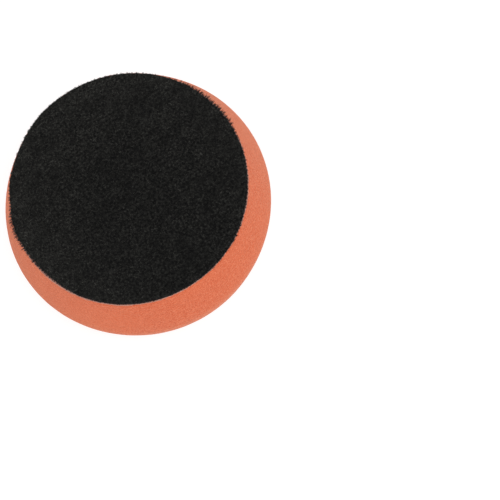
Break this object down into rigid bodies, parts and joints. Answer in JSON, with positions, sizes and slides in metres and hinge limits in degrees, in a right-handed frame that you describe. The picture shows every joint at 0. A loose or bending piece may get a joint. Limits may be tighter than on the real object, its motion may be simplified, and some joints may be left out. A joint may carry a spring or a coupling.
{
  "type": "polishing pad",
  "caption": "Round foam pad with a flared, tapering wall, a flat polishing face and a hook-and-loop backing for a small machine polisher.",
  "frame": {"origin": "centre of the flat polishing face, where it lies on the surface being polished", "axes": "+Z along the pad's axis, away from the polished surface and towards the machine's backing plate; X and Y are any two directions across the round pad"},
  "size_m": [0.085, 0.085, 0.0315],
  "materials": {
    "foam": "matte",
    "adhesive": "satin",
    "ground_cloth": "matte",
    "pile": "matte"
  },
  "bodies": {
    "root": {"foam_body": "foam", "adhesive_film": "adhesive", "loop_ground_cloth": "ground_cloth", "loop_pile": "pile"}
  },
  "joints": []
}
